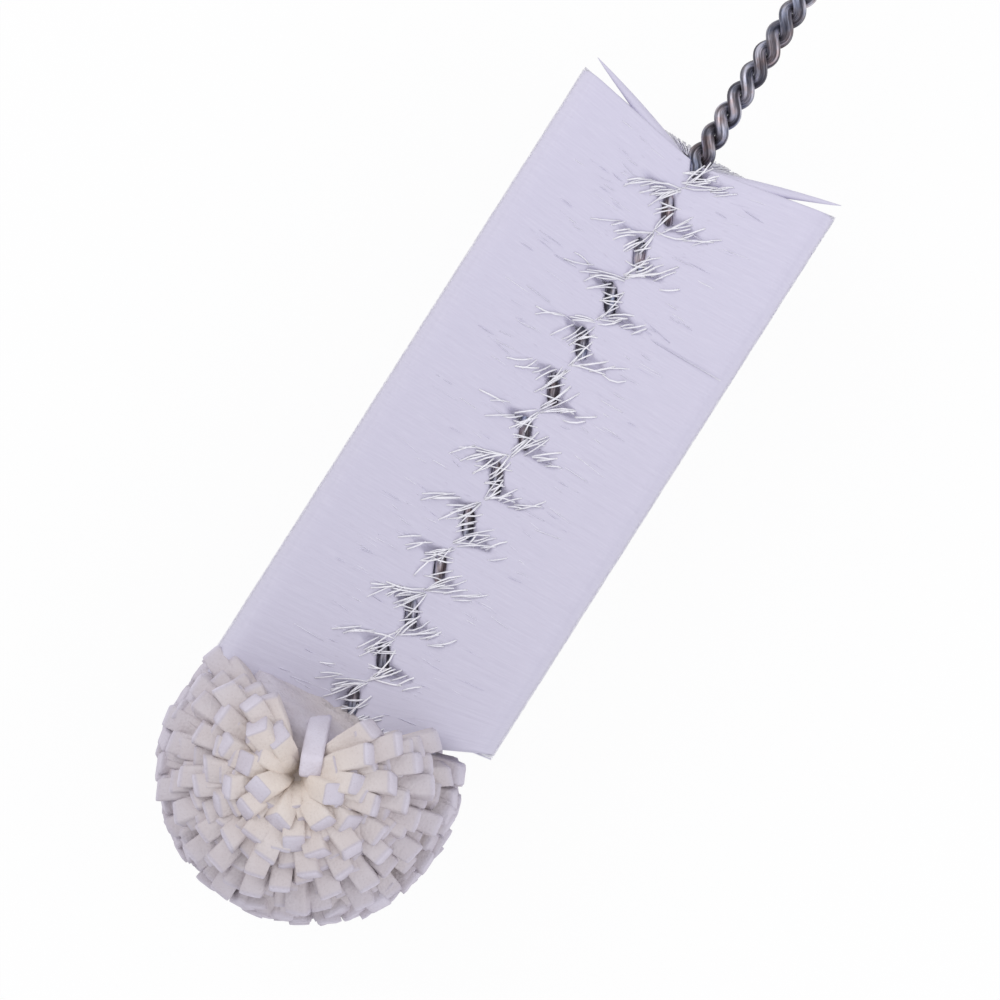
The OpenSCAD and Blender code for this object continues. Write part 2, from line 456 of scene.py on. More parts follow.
FILAMENTS = 16000
FILAMENT_D = 0.28
FILAMENT_SIDES = 3
BRISTLE_PIECES = 4
SPREAD_ALONG = 3.5
MOST_AROUND = 89.0
MOST_LEAN = 60.0
END_FILAMENTS = 700
END_ROOM = 0.15
END_SLACK = 0.3
ROOT_OUT = 0.2
GRIPPED_SHARE = 0.8
PINCH_R = 1.9
BEND = 0.35
BEND_WAYS = (0.7, 1, 1)
TRIM_CLEAR = 0.1
TRIM_SPREAD = 0.22
FLOOR_CLEAR = 0.2
LEAST_DOWN = 0.05
SHADE_MEAN = 0.5
SHADE_SPREAD = 0.18
# Painted light: each bristle is lighter towards its tip
PAINTED_LIGHT_OUTWARDS = (0, 0, 0.15, 0.45)

# Their lean at the two ends of the brush, and how it differs from one side to the other
STEM_END_LEAN = 9.6
STEM_END_SIDEWAYS = 0.14
FOAM_END_LEAN = 16.0
FOAM_END_EVEN = 0.22
LEAN_FADE = 6

# The parting along the top, and the few strays in it away from both ends
PARTING = 84.0
PARTING_SPREAD = 3.0
STRAYS = 0.0005
STRAY_LEAN = 20.0
STRAY_RISE = 0.75
STRAY_FROM_FOAM = 20.0
STRAY_FROM_STEM = 25.0


def wrap(angle):
    """Angle in degrees between -180 and 180."""
    return (angle + 180) % 360 - 180


def part_upwards(angle, least):
    """Angles in degrees around the axis, pushed aside from a parting that runs along the top of the brush."""
    off = wrap(angle - 90)
    pushed = least + (90 - least) * np.abs(off) / 90
    return 90 + np.where(np.abs(off) < 90, np.where(off < 0, -1, 1) * pushed, off)


def lean_at(s, sideways):
    """Lean in degrees towards the stem: it grows at both ends, and the foam pushes one side back more."""
    t = np.clip((s - BRISTLE_S) / BRISTLE_L, 0, 1)
    at_foam = FOAM_END_LEAN * (FOAM_END_EVEN - sideways)
    at_stem = STEM_END_LEAN * (1 - STEM_END_SIDEWAYS * sideways)
    return at_foam * (1 - t) ** LEAN_FADE + at_stem * t ** LEAN_FADE


def bristle_aims(s, sheet):
    """Angle around the axis and lean of each bristle, and whether it strays."""
    n = len(s)
    around = rng.uniform(-MOST_AROUND, MOST_AROUND, n)
    inner = (s > BRISTLE_S + STRAY_FROM_FOAM) & (s < GRIP_END_S - STRAY_FROM_STEM)
    stray = (rng.uniform(0, 1, n) < STRAYS) & inner
    least = PARTING + np.abs(rng.normal(0, PARTING_SPREAD, n))
    least = np.where(stray, PARTING * rng.uniform(STRAY_RISE, 1, n), least)
    aim = np.radians(part_upwards(np.degrees(sheet) + around, least))
    loose = rng.normal(0, 1, n) * np.where(stray, STRAY_LEAN, SPREAD_ALONG)
    room_back, room_on = [np.degrees(np.arctan(gap / BRISTLE_R)) + END_SLACK
                          for gap in (s - BRISTLE_S, GRIP_END_S - s)]
    loose = np.where(stray, loose, np.clip(loose, -room_back, room_on))
    lean = np.clip(lean_at(s, np.cos(aim)) + loose, -MOST_LEAN, MOST_LEAN)
    return aim, lean, stray


def trimmed_reach(pinch, heading, lean, stray):
    """Length of each bristle up to the trimmed round of the brush or the plane on which it lies."""
    flat_p, flat_h = pinch[:, 1:], heading[:, 1:]
    dot = (flat_p * flat_h).sum(1)
    trim = BRISTLE_R - TRIM_CLEAR - np.abs(rng.normal(0, TRIM_SPREAD, len(pinch)))
    reach = -dot + np.sqrt(dot ** 2 - (flat_p ** 2).sum(1) + trim ** 2)
    reach = np.where(stray, reach * np.cos(np.radians(lean)), reach)
    down = np.minimum(heading[:, 2], -LEAST_DOWN)
    to_floor = (-AXIS_Z + FLOOR_CLEAR - pinch[:, 2]) / down
    return np.minimum(reach, np.where(heading[:, 2] < -LEAST_DOWN, to_floor, reach))


def bristle_paths(s, side):
    """Four points along each bristle: root between the legs, edge of the grip, middle and trimmed tip."""
    n = len(s)
    sheet = np.radians(leg_angle(s) + 90) + math.pi * side
    aim, lean, stray = bristle_aims(s, sheet)
    across = rng.uniform(-0.5, 0.5, n) * GRIP_GAP * GRIPPED_SHARE

    def in_grip(r):
        y = r * np.cos(sheet) - across * np.sin(sheet)
        return np.stack([s, y, r * np.sin(sheet) + across * np.cos(sheet)], -1)

    root, pinch = in_grip(ROOT_OUT), in_grip(PINCH_R)
    heading = np.stack([np.tan(np.radians(lean)), np.cos(aim), np.sin(aim)], -1)
    reach = trimmed_reach(pinch, heading, lean, stray)
    tip = pinch + heading * reach[:, None]
    middle = pinch + heading * (0.5 * reach)[:, None] + rng.normal(0, BEND, (n, 3)) * BEND_WAYS
    return np.stack([root, pinch, middle, tip], 1)


def filament_mesh(paths, diameter=FILAMENT_D):
    """Three-sided filaments along the paths, with closed ends."""
    n, steps = paths.shape[:2]
    run = unit(paths[:, -1] - paths[:, 0])
    u = unit(np.cross(run, unit(rng.normal(0, 1, (n, 3)))))
    v = np.cross(run, u)
    a = circle(FILAMENT_SIDES)
    ring = np.cos(a)[None, :, None] * u[:, None] + np.sin(a)[None, :, None] * v[:, None]
    points = paths[:, :, None] + diameter / 2 * ring[:, None]
    one = tube_triangles(steps, FILAMENT_SIDES)
    triangles = (np.arange(n) * steps * FILAMENT_SIDES)[:, None, None] + one[None]
    return points.reshape(-1, 3), triangles.reshape(-1, 3)


# Packed bristles: one closed body whose upper side is the two flanks of the parting

PACKED_R = 29.85
PACKED_BELOW = 0.9
BELOW_FROM = 98.0
BELOW_OVER = 20.0
PACKED_PARTING = 74.0
PACKED_SLOPE = math.radians(PACKED_PARTING)
PACKED_RINGS = 400
PACKED_FROM = 1.0
PACKED_SHORT = 0.2
PACKED_FLOOR_CLEAR = 0.3
LEAST_R = 0.1
FLANK_POINTS = 36
FLANK_SPACING = 1.6
ROUND_POINTS = 26
CREASE_Z = 3.0
CREST_ROUNDING = 3
LAYER_SPREAD = 0.03
LAYERS_FROM = 6.0
FLANK_L = (math.sqrt(PACKED_R ** 2 - (CREASE_Z * math.sin(PACKED_SLOPE)) ** 2)
           - CREASE_Z * math.cos(PACKED_SLOPE))

# Where they reach in under the foam: how far, out to which radius and along how much of the wire
INTO_FOAM = 5.0
INTO_FOAM_R = 7.0
INTO_FOAM_FADE = 10.0
INTO_FOAM_L = 7.0

# The windows in which a leg of the wire shows, and the share of their size at which they end softly
WINDOW_STEP = GRIP_PITCH / 2
WINDOW_HALF_L = 3.0
WINDOW_HALF_W = 1.25
WINDOW_DEPTH = 2.1
WINDOW_SLANT = 2 * math.pi * GRIP_LEG_R / GRIP_PITCH
WINDOW_EDGE = 0.7
WINDOW_SOFT = 0.6

# The slots beside the windows: place, slant, width at the wire and outside, and where they open and close
SLOT_PLACE = 1.9
SLOT_SLANT = 0.1
SLOT_W = 1.2
SLOT_LEAST_W = 0.25
SLOT_OPENS = 0.8
SLOT_OPEN_OVER = 1.2
SLOT_CLOSES = 0.5
SLOT_DEPTHS = (1.4, 2.6)
SLOT_LENGTHS = (6.5, 10)


def flank_z(y):
    """Height above the axis of the parting's flanks."""
    return CREASE_Z + np.abs(y) / math.tan(PACKED_SLOPE)


def rounded_crest(values):
    """Values along the outline, evened out around the crest between flank and round."""
    crest = np.abs(np.arange(values.shape[1]) - FLANK_POINTS) < FLANK_POINTS // 3
    inner = (values[:, :-2] + 2 * values[:, 1:-1] + values[:, 2:]) / 4
    return np.where(crest, np.concatenate([values[:, :1], inner, values[:, -1:]], 1), values)


def past_window(s):
    """Distance along the wire from the middle of the nearest place where a leg lies in front."""
    return (s - GRIP_END_S + WINDOW_STEP / 2) % WINDOW_STEP - WINDOW_STEP / 2


def window_dip(s, y):
    """How deep the bristles open over the leg in front: a hollow that lies along the leg."""
    past = past_window(s)
    long = (past + WINDOW_SLANT * y) / math.hypot(1, WINDOW_SLANT)
    wide = (y - WINDOW_SLANT * past) / math.hypot(1, WINDOW_SLANT)
    out = np.hypot(long / WINDOW_HALF_L, wide / WINDOW_HALF_W)
    return WINDOW_DEPTH * (1 - smooth((out - WINDOW_EDGE) / WINDOW_SOFT))


def slot_dip(s, y, side, depth, length):
    """How deep the bristles gape beside a window: a slot that narrows outwards to a point."""
    past = side * past_window(s) - SLOT_PLACE - SLOT_SLANT * y
    width = SLOT_LEAST_W + SLOT_W * np.clip(1 - y / length, 0, 1)
    closed = smooth((y / length - SLOT_CLOSES) / (1 - SLOT_CLOSES))
    open_share = smooth((y - SLOT_OPENS) / SLOT_OPEN_OVER) * (1 - closed)
    return depth * np.exp(-(past / width) ** 2) * open_share


def packed_half(s, side, slot_depth, slot_length):
    """Half of the packed bristles' outline at each place: out along the flank, then round to the bottom."""
    q = np.repeat(np.linspace(0, 1, FLANK_POINTS)[None] ** FLANK_SPACING * FLANK_L, len(s), 0)
    y = q * math.sin(PACKED_SLOPE)
    place = s[:, None]
    z = CREASE_Z + q * math.cos(PACKED_SLOPE) - window_dip(place, side * y)
    z = z - slot_dip(place, y, side, slot_depth[:, None], slot_length[:, None])
    z = z + rng.normal(0, LAYER_SPREAD, len(s))[:, None] * smooth(y / LAYERS_FROM)
    start = np.arctan2(y[:, -1:], z[:, -1:])
    off = start + (math.pi - start) * np.linspace(0, 1, ROUND_POINTS)[None, 1:]
    r = PACKED_R - PACKED_BELOW * smooth((np.degrees(off) - BELOW_FROM) / BELOW_OVER)
    along = np.concatenate([q, FLANK_L + PACKED_R * (off - start)], 1)
    y, z = np.concatenate([y, r * np.sin(off)], 1), np.concatenate([z, r * np.cos(off)], 1)
    for _ in range(CREST_ROUNDING):
        y, z = rounded_crest(y), rounded_crest(z)
    return y * side, z, along


def both_halves(left, right):
    """One closed outline from its two halves, which share their first and last points."""
    return np.concatenate([left, right[:, -2:0:-1]], 1)


def build_packed_bristles():
    """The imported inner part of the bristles, laid to both sides of the parting along the top."""
    s = np.linspace(BRISTLE_S - PACKED_FROM, GRIP_END_S - PACKED_SHORT, PACKED_RINGS)
    window = np.round((GRIP_END_S - s) / WINDOW_STEP).astype(int)
    depths = rng.uniform(*SLOT_DEPTHS, (2, window.max() + 1))
    lengths = rng.uniform(*SLOT_LENGTHS, (2, window.max() + 1))
    left = packed_half(s, 1, depths[0][window], lengths[0][window])
    right = packed_half(s, -1, depths[1][window], lengths[1][window])
    y, z, along = [both_halves(a, b) for a, b in zip(left, right)]
    r = np.hypot(y, z)
    place = s[:, None]
    x = place + np.tan(np.radians(lean_at(place, y / np.maximum(r, LEAST_R)))) * r
    near_wire = 1 - smooth((r - INTO_FOAM_R) / INTO_FOAM_FADE)
    x = x - INTO_FOAM * near_wire * (1 - smooth((place - BRISTLE_S) / INTO_FOAM_L))
    points = np.stack([x, y, np.maximum(z, PACKED_FLOOR_CLEAR - AXIS_Z)], -1).reshape(-1, 3)
    triangles = tube_triangles(*y.shape)
    on_left = np.arange(y.shape[1]) < left[0].shape[1]
    unrolled = np.stack([place + np.where(on_left, 0, 2 * BRISTLE_L)[None], along], -1)
    uv = unrolled.reshape(-1, 2)[triangles]
    piece = mesh_piece("bristles_packed", world(points), triangles, "bristles", uv=uv)
    piece.data.materials.append(packed_material())


# Tufts: the last bristles at the stem end, which stand apart at the two outer corners

TUFT_ROOT_S = 178.0
TUFT_ROOT_Y = 2.0
TUFT_TIPS = ((184.9, 28.4), (186.0, -29.2))
TUFT_HALF_W = 2.1
TUFT_HALF_H = 2.5
TUFT_BULGE = 0.5
TUFT_RINGS = 16
TUFT_SIDES = 12
TUFT_FROM = 0.05
TUFT_TAPER = 0.8
TUFT_TIP_W = 0.03
TUFT_UNDER = 0.15


def tuft_points(tip_s, tip_y):
    """Rings of points along one pointed tuft that lies flush with its flank."""
    share = np.linspace(TUFT_FROM, 1, TUFT_RINGS)[:, None, None]
    a = circle(TUFT_SIDES)[None, :, None]
    thin = (1 - share) ** TUFT_TAPER + TUFT_TIP_W
    root = np.array([TUFT_ROOT_S, math.copysign(TUFT_ROOT_Y, tip_y), 0])
    middle = root + (np.array([tip_s, tip_y, 0]) - root) * share
    middle = middle + (flank_z(middle[:, :, 1:2]) - TUFT_HALF_H * thin - TUFT_UNDER) * [0, 0, 1]
    middle = middle + TUFT_BULGE * 4 * share * (1 - share) * [1, 0, 0]
    turn = 1 if tip_y > 0 else -1
    round_it = np.cos(a) * [TUFT_HALF_W, 0, 0] + turn * np.sin(a) * [0, 0, TUFT_HALF_H]
    return (middle - thin * [TUFT_HALF_W, 0, 0] + thin * round_it).reshape(-1, 3)


def build_tufts():
    tufts = [tuft_points(*tip) for tip in TUFT_TIPS]
    points = np.concatenate(tufts)
    one = tube_triangles(TUFT_RINGS, TUFT_SIDES)
    triangles = np.concatenate([one, one + len(tufts[0])])
    uv = np.stack([points[:, 0], np.abs(points[:, 1])], -1)[triangles]
    piece = mesh_piece("bristles_tufts", world(points), triangles, "bristles", uv=uv)
    piece.data.materials.append(bpy.data.materials["nylon_packed"])


# Bristles that cross the wire and lie on the flanks: ranges of their number, place, slant and length

CROSSING_D = 0.38
CROSSING_SWAY = 0.05
CROSSING_SHARES = (0, 0.33, 0.67, 1)
CROSSING_LIFT = (-0.2, 0.3, 0.3, -0.1)
CROSSING_LOOSE = 0.3
STITCHES = (5, 9)
STITCH_S = 3.3
STITCH_S_SPREAD = 0.5
STITCH_OUT = (0.6, 7.0)
STITCH_OUT_SPREAD = 0.4
STITCH_SLANT = 58.0
STITCH_SLANT_LESS = 3.5
STITCH_SLANT_SPREAD = 13.0
STITCH_L = (3.0, 6.5)
FANNED = (4, 7)
FANNED_S = 5.0
FANNED_SPREAD = 0.4
FANNED_SLANT = (15, 85)
FANNED_L = (4.0, 8.5)
OVER = (1, 3)
OVER_S = (1, 3.5)
OVER_OUT = (-2.4, -1.2)
OVER_SLANT = (10, 50)
OVER_L = (3.5, 5.5)
COMBED = 200
COMBED_IN = 2.0
COMBED_START = (3, 12)
COMBED_LATER = 2.0
COMBED_L = (2.5, 8)
COMBED_SHORT = 1.0
COMBED_SHARES = (0, 0.35, 0.7, 1)
COMBED_SKEW = 5.0
COMBED_LIFT = (-0.25, -0.02, -0.02, -0.1)
COMBED_LOOSE = 0.1
COMBED_SHADE = (0.5, 0.8)


def crossing(start, back, length, middle, side):
    """Four points of one crossing bristle on the flanks, turned half round the view for the other side."""
    a = math.radians(back)
    run = length * np.array([-math.sin(a), math.cos(a), 0])
    sway = rng.normal(0, CROSSING_SWAY) * length * np.array([math.cos(a), math.sin(a), 0])
    share = np.array(CROSSING_SHARES)[:, None]
    points = start + run * share + sway * 4 * share * (1 - share)
    points = points * [side, side, 1] + [middle, 0, 0]
    lift = np.array(CROSSING_LIFT) + rng.uniform(0, CROSSING_LOOSE, 4)
    points[:, 2] = flank_z(points[:, 1]) + lift
    return points


def stitches(middle, side):
    """Bristles side by side over the slot."""
    made = []
    for out in np.linspace(*STITCH_OUT, rng.integers(*STITCHES)):
        place = STITCH_S + rng.normal(0, STITCH_S_SPREAD)
        start = np.array([place, out + rng.normal(0, STITCH_OUT_SPREAD), 0])
        back = STITCH_SLANT - STITCH_SLANT_LESS * out + rng.normal(0, STITCH_SLANT_SPREAD)
        made.append(crossing(start, back, rng.uniform(*STITCH_L), middle, side))
    return made


def fanned(middle, side):
    """Bristles that fan out from the closed place between two windows."""
    made = []
    for _ in range(rng.integers(*FANNED)):
        start = np.array([FANNED_S + rng.normal(0, FANNED_SPREAD), rng.normal(0, FANNED_SPREAD), 0])
        made.append(crossing(start, rng.uniform(*FANNED_SLANT), rng.uniform(*FANNED_L), middle, side))
    return made


def over_window(middle, side):
    """A few bristles over the leg that shows."""
    made = []
    for _ in range(rng.integers(*OVER)):
        start = np.array([rng.uniform(*OVER_S), rng.uniform(*OVER_OUT), 0])
        made.append(crossing(start, rng.uniform(*OVER_SLANT), rng.uniform(*OVER_L), middle, side))
    return made


def crossing_paths():
    """Single bristles on both sides of each window, and on one side of the first, which is at the stem."""
    paths = []
    for number in range(int(BRISTLE_L / WINDOW_STEP) + 1):
        middle = GRIP_END_S - number * WINDOW_STEP
        for side in (1, -1):
            if number == 0 and side == 1:
                continue
            paths += stitches(middle, side) + fanned(middle, side) + over_window(middle, side)
    return np.array(paths)


def combed_paths():
    """Single bristles that lie on the flanks of the parting, nearly straight out from the wire."""
    n = COMBED
    s = rng.uniform(BRISTLE_S + COMBED_IN, GRIP_END_S - COMBED_IN, n)
    side = rng.choice([-1, 1], n)
    start = rng.uniform(*COMBED_START, n) + rng.exponential(COMBED_LATER, n)
    reach = np.minimum(start + rng.uniform(*COMBED_L, n), FLANK_L - COMBED_SHORT)
    q = start[:, None] + (reach - start)[:, None] * np.array(COMBED_SHARES)
    skew = np.tan(np.radians(rng.normal(0, COMBED_SKEW, n)))
    lift = np.array(COMBED_LIFT) + rng.uniform(-COMBED_LOOSE, COMBED_LOOSE, (n, 4))
    y = q * math.sin(PACKED_SLOPE)
    z = CREASE_Z + q * math.cos(PACKED_SLOPE) + lift
    lean = np.tan(np.radians(lean_at(s[:, None], side[:, None] * math.sin(PACKED_SLOPE))))
    x = s[:, None] + lean * np.hypot(y, z) + skew[:, None] * (q - start[:, None])
    return np.stack([x, y * side[:, None], z], -1)


def build_crossing_bristles(material):
    over, lying = crossing_paths(), combed_paths()
    bright, plain = filament_mesh(over, CROSSING_D), filament_mesh(lying)
    points = np.concatenate([bright[0], plain[0]])
    triangles = np.concatenate([bright[1], plain[1] + len(bright[0])])
    # The crossing bristles take the lightest tone, which is painted light
    shade = np.concatenate([np.ones(len(over)), rng.uniform(*COMBED_SHADE, len(lying))])
    shade = np.repeat(shade, len(points) // len(shade))
    piece = mesh_piece("bristles_crossing", world(points), triangles, "bristles", shade=shade)
    piece.data.materials.append(material)


def build_bristles():
    """All single bristles, with extra ones in the last piece that close the end at the stem."""
    material = bristle_material()
    build_crossing_bristles(material)
    bounds = np.linspace(BRISTLE_S, GRIP_END_S, BRISTLE_PIECES + 1)
    for number in range(BRISTLE_PIECES):
        s = rng.uniform(bounds[number], bounds[number + 1], FILAMENTS // BRISTLE_PIECES)
        if number == BRISTLE_PIECES - 1:
            s = np.concatenate([s, rng.uniform(GRIP_END_S, GRIP_END_S + END_ROOM, END_FILAMENTS)])
        paths = np.concatenate([bristle_paths(s, 0), bristle_paths(s, 1)])
        points, triangles = filament_mesh(paths)
        shade = np.clip(rng.normal(SHADE_MEAN, SHADE_SPREAD, len(paths)), 0, 1)
        # Painted light towards the tips
        shade = np.clip(shade[:, None] + np.array(PAINTED_LIGHT_OUTWARDS), 0, 1)
        shade = np.repeat(shade.ravel(), FILAMENT_SIDES)
        name = f"bristles_{number + 1}"
        piece = mesh_piece(name, world(points), triangles, "bristles", shade=shade)
        piece.data.materials.append(material)


# Foam strips

BALL_CENTRE = np.array([BALL_R, 0, 0])
ROOT_R = 3.9
ROOT_PAST_WIRE = 1.6
ROOT_HALF_L = BALL_R - WIRE_TIP_S + ROOT_PAST_WIRE
ROOT_FULL_OUT = math.sin(math.radians(25))
DRAWN_FAN = 135.0
STRIP_STRAY = 0.03
STRIP_BEND = 1.0
STRIP_FLOOR_CLEAR = 0.4
STRIP_LEAST_DOWN = 0.01
FOAM_FLOOR_CLEAR = 0.15
RIM_Z = 8.0
BACK_S = 48.0

# Number, first angle, and shortest and longest reach in ball radii of four sets of strip ends
LONG_ENDS = (420, 0, 0.975, 1.01)
SHORT_ENDS = (300, 70, 0.93, 0.97)
UPPER_ENDS = (80, 0, 0.975, 1.015)
FILL_ENDS = (165, 70, 0.905, 0.95)

# Shape of a strip end: corners, (share of its length, share of its width) steps, root, twist, cut and bow
CORNER = 0.22
CORNER_STEPS = (-42, 0, 42)
CORNER_OUT = 1.2
STRIP_STEPS = ((0, 1), (0.2, 1), (0.4, 1), (0.6, 1), (0.8, 1), (0.95, 1), (0.99, 0.95), (1, 0.6))
SQUEEZED = 0.25
FULL_WIDTH_AT = 0.55
ROLL_SPREAD = 12.0
STRIP_WIDTHS = (0.94, 1.06)
TILT_SPREAD = 0.12
CUT_FROM = 0.6
BOW = 2.2
NEARLY_UP = (0.03, 0.02, 1)

# Tones: cut ends lighter as painted light, and creamier towards the open place of the upper side, partly the
# foam's tint and partly painted light
CUT_SHADE = 1.25
CUT_PAINTED_LIGHT = 1.15
CREAM_AND_PAINTED_LIGHT = 0.62
CREAM_AND_PAINTED_LIGHT_FADE = 0.4

# The upper side of the ball opens around one place, where the strips part and one stands up
OPEN_CENTRE = np.array([30.4, 1.8])
OPEN_R = 7.0
RIM_R = 30.3
UPPER_ROOT_Z = 20.0
UPPER_ROOT_OUT = 0.08
UPPER_SHARES = (0.2, 0.8)
UPPER_TURN_SPREAD = 3.0
UPPER_BENDS = (1, 5)
LEAST_RISE = 0.985
STANDING_ROOT = np.array([41.0, 3.6, 6.0])
STANDING_TIP = np.array([33.4, 0.3, 28.5])
STANDING_BEND = np.array([3.2, 1.2, 6.0])
STANDING_WAY = 8.0
STANDING_ROOM = 45.0
STANDING_REACH = 15.0
# Painted light: the standing strip gets a lighter tone, as it stands up into the light
STANDING_PAINTED_LIGHT = 0.97

# The edge where the bristles begin on the upper side, left and right of the wire
EDGE_LEFT = 46.5
EDGE_LEFT_SLOPE = 0.4
EDGE_LEAST = 42.0
EDGE_RIGHT = 47.0
EDGE_RIGHT_SLOPE = 0.25

# The core: its radius, the hollow on top, the slope towards the bristles and its lighter back
CORE_RINGS = 40
CORE_SIDES = 48
CORE_POLE = 0.02
CORE_R = 26.0
CORE_OPEN_R = 22.5
CORE_OPEN_FROM = 30.0
CORE_OPEN_OVER = 60.0
CORE_BACK = 14.6
CORE_BACK_WAY = np.array([0.949, 0, 0.316])
CORE_BACK_LEAST = 0.05
CORE_ROUGH = 0.3
CORE_BACK_LIGHT = 0.3
CORE_LIGHT_FROM = 0.05
CORE_LIGHT_OVER = 0.3


def rounded_square():
    """Points around a square of half width 1 with rounded corners."""
    points = []
    for corner in range(4):
        a = math.radians(45 + 90 * corner)
        for step in CORNER_STEPS:
            b = math.radians(45 + 90 * corner + step)
            points.append([math.copysign(1 - CORNER, way(a)) + CORNER * way(b) * CORNER_OUT
                           for way in (math.cos, math.sin)])
    return np.array(points)


def round_the_axis(along, r, around):
    return np.array([along, r * math.cos(around), r * math.sin(around)])


def strip_ends(count, turn, shortest, longest):
    """Roots and tips of strip ends, spread evenly over the ball with a little disorder."""
    ends = []
    for k in range(count):
        from_tip = math.acos(1 - (1 - math.cos(math.radians(DRAWN_FAN))) * (k + 0.5) / count)
        around = math.radians(GOLDEN_ANGLE * k + turn)
        u = round_the_axis(-math.cos(from_tip), math.sin(from_tip), around)
        u = unit(u + rng.normal(0, STRIP_STRAY, 3))
        reach = BALL_R * rng.uniform(shortest, longest)
        if u[2] < -STRIP_LEAST_DOWN:
            low = AXIS_Z - STRIP_W * math.sqrt(0.5) * math.sqrt(1 - u[2] ** 2) - STRIP_FLOOR_CLEAR
            reach = min(reach, low / -u[2])
        root_out = ROOT_R * min(1, math.sin(from_tip) / ROOT_FULL_OUT)
        root = round_the_axis(BALL_R - ROOT_HALF_L * math.cos(from_tip), root_out, around)
        ends.append((root, BALL_CENTRE + reach * u))
    return ends


def upper_ends(count, turn, shortest, longest):
    """Roots, tips and bends of strip ends on the upper side: up from the open place, then outwards."""
    ends = []
    for k in range(count):
        share = (k + rng.uniform(*UPPER_SHARES)) / count
        out = math.sqrt(OPEN_R ** 2 + (RIM_R ** 2 - OPEN_R ** 2) * share)
        a = math.radians(GOLDEN_ANGLE * k + turn + rng.normal(0, UPPER_TURN_SPREAD))
        flat = OPEN_CENTRE - BALL_CENTRE[:2] + out * np.array([math.cos(a), math.sin(a)])
        reach = BALL_R * rng.uniform(shortest, longest)
        flat = flat * min(1, LEAST_RISE * reach / np.linalg.norm(flat))
        tip = np.array([BALL_R + flat[0], flat[1], math.sqrt(reach ** 2 - flat @ flat)])
        root = np.array([*(OPEN_CENTRE + UPPER_ROOT_OUT * (tip[:2] - OPEN_CENTRE)), UPPER_ROOT_Z])
        ends.append((root, tip, np.array([0, 0, rng.uniform(*UPPER_BENDS)])))
    return ends


def foam_edge(y):
    """Place along the axis up to which the strips show on the upper side, where the bristles begin."""
    left = np.maximum(EDGE_LEFT - EDGE_LEFT_SLOPE * y, EDGE_LEAST)
    return np.where(y < 0, EDGE_RIGHT - EDGE_RIGHT_SLOPE * y, left)


def kept(tip):
    """Whether a strip end of the upper side stays: clear of the bristles and of the standing strip."""
    out = tip[:2] - OPEN_CENTRE
    beside = abs(math.degrees(math.atan2(out[1], out[0])) - STANDING_WAY)
    by_standing = beside < STANDING_ROOM and np.linalg.norm(out) < STANDING_REACH
    return not by_standing and tip[0] < foam_edge(tip[1])


def all_strip_ends():
    """Root, tip, bend and width at the root of each strip end."""
    even = strip_ends(*LONG_ENDS) + strip_ends(*SHORT_ENDS)
    below = [(root, tip, rng.normal(0, STRIP_BEND, 3)) for root, tip in even if tip[2] < RIM_Z]
    upper = upper_ends(*UPPER_ENDS) + upper_ends(*FILL_ENDS)
    shown = [end for end in below if end[1][0] < BACK_S] + [end for end in upper if kept(end[1])]
    return [(*end, SQUEEZED) for end in shown] + [(STANDING_ROOT, STANDING_TIP, STANDING_BEND, 1)]


def strip_shade(points, standing):
    """Tone of each point of a strip end, from how far out it is and how far from the open place; the creamier
    deep tones are partly painted light, and the lighter cut ends are painted light.
    """
    out = np.linalg.norm(points - BALL_CENTRE, axis=-1) / BALL_R
    plan = np.linalg.norm(points[:, :, :2] - OPEN_CENTRE, axis=-1) / BALL_R
    # Creamier, lighter tones near the open place: partly the foam's tint, partly painted light
    cream = np.where(points[:, :, 2] > 0, np.minimum(out, CREAM_AND_PAINTED_LIGHT + CREAM_AND_PAINTED_LIGHT_FADE * plan), out)
    out[:-2] = cream[:-2]
    # Painted light on the standing strip
    out = np.maximum(out, STANDING_PAINTED_LIGHT * CUT_SHADE * standing)
    # Cut ends lighter: painted light
    out[-2:] = np.maximum(out[-2:] * CUT_PAINTED_LIGHT, out[-3:-2])
    return np.minimum(out.ravel() / CUT_SHADE, 1)


def strip_points(root, tip, bend, squeezed, outline):
    """Points and tones along one strip end, from its root to its cut end. The standing one isn't squeezed."""
    standing = squeezed == 1
    run = tip - root
    heading = run / np.linalg.norm(run)
    e1 = unit(np.cross(heading, NEARLY_UP))
    e2 = np.cross(heading, e1)
    roll = math.radians(rng.normal(0, ROLL_SPREAD)) * (not standing)
    f1 = math.cos(roll) * e1 + math.sin(roll) * e2
    f2 = -math.sin(roll) * e1 + math.cos(roll) * e2
    half = STRIP_W / 2 * rng.uniform(*STRIP_WIDTHS, 2)
    tilt = rng.normal(0, TILT_SPREAD, 2) * (not standing)
    rings = []
    for t, wide in STRIP_STEPS:
        centre = root + run * t + bend * (t * (1 - t) * BOW)
        flat = outline * (half * (squeezed + (1 - squeezed) * smooth(t / FULL_WIDTH_AT)) * wide)
        cut = smooth((t - CUT_FROM) / (1 - CUT_FROM)) * (flat @ tilt)
        rings.append(centre + flat[:, :1] * f1 + flat[:, 1:] * f2 + cut[:, None] * heading)
    points = np.array(rings)
    points[:, :, 2] = np.maximum(points[:, :, 2], FOAM_FLOOR_CLEAR - AXIS_Z)
    return points.reshape(-1, 3), strip_shade(points, standing)


